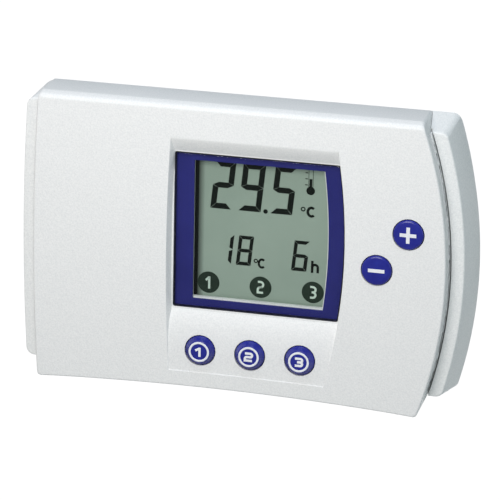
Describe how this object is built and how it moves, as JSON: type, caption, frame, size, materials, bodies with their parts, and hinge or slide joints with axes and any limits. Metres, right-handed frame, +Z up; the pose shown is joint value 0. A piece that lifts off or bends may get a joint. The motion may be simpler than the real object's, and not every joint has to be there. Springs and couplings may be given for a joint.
{
  "type": "wall thermostat",
  "caption": "Landscape room thermostat with a bowed white case, stepped side wings, a blue-framed display and round blue push buttons.",
  "frame": {"origin": "middle of the four wall screw slots, on the face that lies on the wall", "axes": "+Z up, +X to the right seen from the front, +Y into the wall, so the front looks along -Y"},
  "size_m": [0.1371, 0.0231, 0.09],
  "materials": {
    "cover": "fine-grained white ABS",
    "housing": "fine-grained white ABS",
    "pane": "clear acrylic, polished",
    "mask": "dark blue plastic frame",
    "display": "grey-green display glass with dark segments",
    "reflector": "pale diffuser film",
    "holder": "white display frame",
    "elastomer": "layered conductive elastomer",
    "board": "green solder mask",
    "chip": "black moulded epoxy",
    "can": "drawn metal can",
    "parts": "ceramic chip parts with tinned ends",
    "sleeve": "dark printed sleeve",
    "relay_case": "orange relay case",
    "bead": "epoxy bead",
    "terminal": "green terminal housing",
    "steel": "zinc-plated steel",
    "brass": "plated brass clamp",
    "silicone": "soft translucent silicone",
    "tray": "dark moulded battery tray",
    "cell": "blue cell jacket with bare ends",
    "button": "glossy blue cap",
    "post": "silicone key"
  },
  "bodies": {
    "case": {"front_cover": "cover", "rear_housing": "housing", "display_window": "pane", "window_mask": "mask", "lcd_panel": "display", "lcd_reflector": "reflector", "lcd_holder": "holder", "zebra_strips": "elastomer", "circuit_board": "board", "microcontroller": "chip", "crystal": "can", "chip_parts": "parts", "capacitors": "sleeve", "relay": "relay_case", "thermistor": "bead", "terminal_block": "terminal", "terminal_screws": "steel", "terminal_clamps": "brass", "keypad_lower": "silicone", "keypad_side": "silicone", "battery_tray": "tray", "battery_left": "cell", "battery_right": "cell", "battery_springs": "steel", "battery_plates": "steel", "board_screws": "steel", "cover_screw": "steel"},
    "key_1": {"button_1": "button", "key_post_1": "post"},
    "key_2": {"button_2": "button", "key_post_2": "post"},
    "key_3": {"button_3": "button", "key_post_3": "post"},
    "key_plus": {"button_plus": "button", "key_post_plus": "post"},
    "key_minus": {"button_minus": "button", "key_post_minus": "post"}
  },
  "joints": [
    {"name": "press_1", "type": "slide", "parent": "case", "child": "key_1", "axis": [0, 1, 0], "range_m": [0, 0.001], "stiffness_N_per_m": 900, "springref_m": -0.0006},
    {"name": "press_2", "type": "slide", "parent": "case", "child": "key_2", "axis": [0, 1, 0], "range_m": [0, 0.001], "stiffness_N_per_m": 900, "springref_m": -0.0006},
    {"name": "press_3", "type": "slide", "parent": "case", "child": "key_3", "axis": [0, 1, 0], "range_m": [0, 0.001], "stiffness_N_per_m": 900, "springref_m": -0.0006},
    {"name": "press_plus", "type": "slide", "parent": "case", "child": "key_plus", "axis": [0, 1, 0], "range_m": [0, 0.001], "stiffness_N_per_m": 900, "springref_m": -0.0006},
    {"name": "press_minus", "type": "slide", "parent": "case", "child": "key_minus", "axis": [0, 1, 0], "range_m": [0, 0.001], "stiffness_N_per_m": 900, "springref_m": -0.0006}
  ]
}
